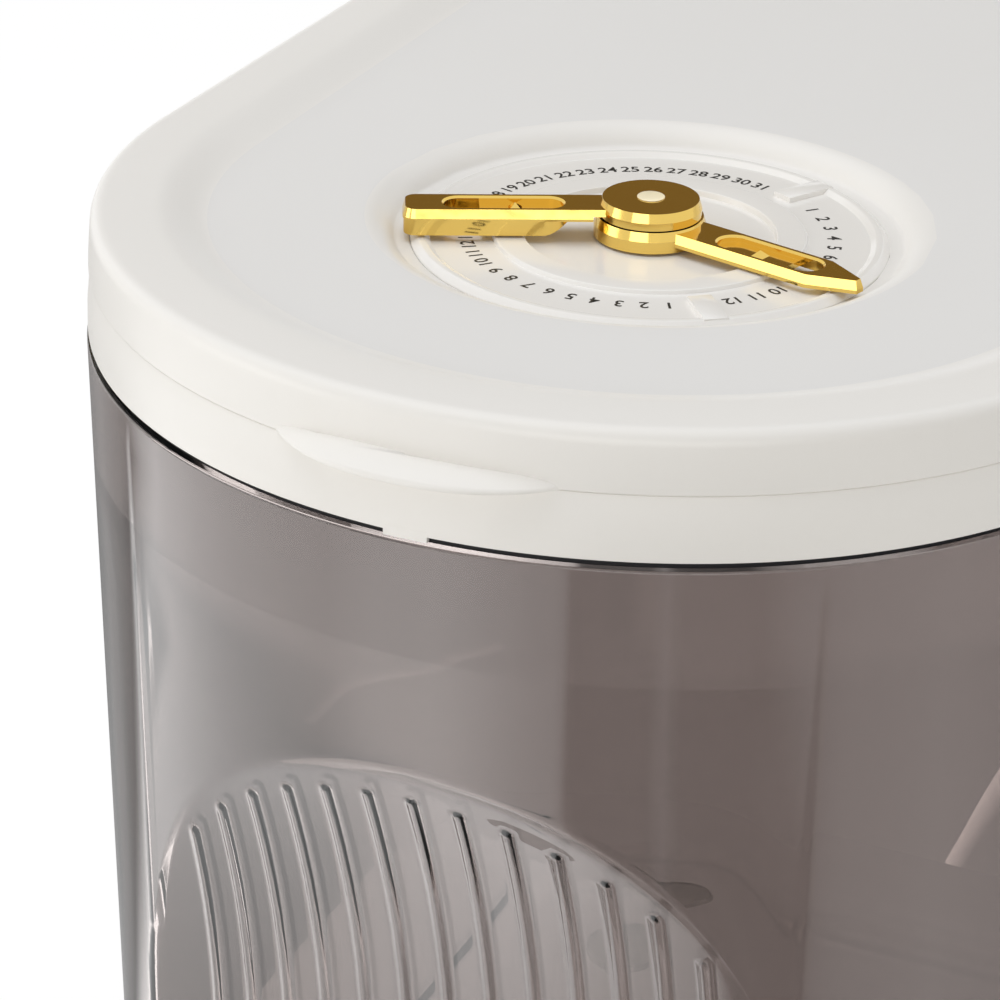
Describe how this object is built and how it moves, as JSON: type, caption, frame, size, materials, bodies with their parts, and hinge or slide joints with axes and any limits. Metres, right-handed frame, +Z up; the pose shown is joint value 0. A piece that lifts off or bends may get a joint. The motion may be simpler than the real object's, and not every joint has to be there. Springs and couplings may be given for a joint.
{
  "type": "rice storage bin",
  "caption": "Smoke-tinted grain bin with a ribbed grip recess, white hinged lid and a date dial with two gold hands.",
  "frame": {"origin": "on the ground under the middle of the whole object, finger tab and hinge included", "axes": "+Z up, -Y out of the half-round front with the finger tab, +X to the right of someone who looks along +Y"},
  "size_m": [0.1892, 0.2912, 0.252],
  "materials": {
    "smoke_plastic": "clear, smoke grey-brown, glossy",
    "white_abs": "white, satin",
    "gloss_white_abs": "white, glossy",
    "gold_plate": "polished gold plating",
    "pale_gold_plate": "polished pale gold plating",
    "steel": "plain",
    "clear_silicone": "frosted, pale",
    "dark_silicone": "dark, matte",
    "slip_nylon": "off-white, smooth"
  },
  "bodies": {
    "bin": {"container_body": "smoke_plastic", "foot_front_left": "clear_silicone", "foot_front_right": "clear_silicone", "foot_back_left": "clear_silicone", "foot_back_right": "clear_silicone", "rim_gasket": "dark_silicone", "collar": "white_abs", "collar_catch": "white_abs", "hinge_pin_left": "steel", "hinge_pin_right": "steel"},
    "lid": {"lid_cover": "white_abs", "lid_liner": "white_abs", "lid_seal": "clear_silicone", "dial_plate": "gloss_white_abs", "pivot_pin": "pale_gold_plate", "washer_upper": "slip_nylon", "washer_lower": "slip_nylon", "spring_washer": "steel", "pivot_clip": "steel"},
    "months": {"month_hand": "gold_plate"},
    "days": {"day_hand": "gold_plate"}
  },
  "joints": [
    {"name": "lid_hinge", "type": "hinge", "parent": "bin", "child": "lid", "pos_m": [0, 0.1416, 0.241], "axis": [-1, 0, 0], "range_deg": [0, 105]},
    {"name": "month_hand_spin", "type": "hinge", "parent": "lid", "child": "months", "pos_m": [0, -0.0492, 0.245], "axis": [0, 0, 1], "range_deg": [-24.5, 62.1]},
    {"name": "day_hand_spin", "type": "hinge", "parent": "lid", "child": "days", "pos_m": [0, -0.0492, 0.245], "axis": [0, 0, 1], "range_deg": [-132.8, 88.1]}
  ]
}
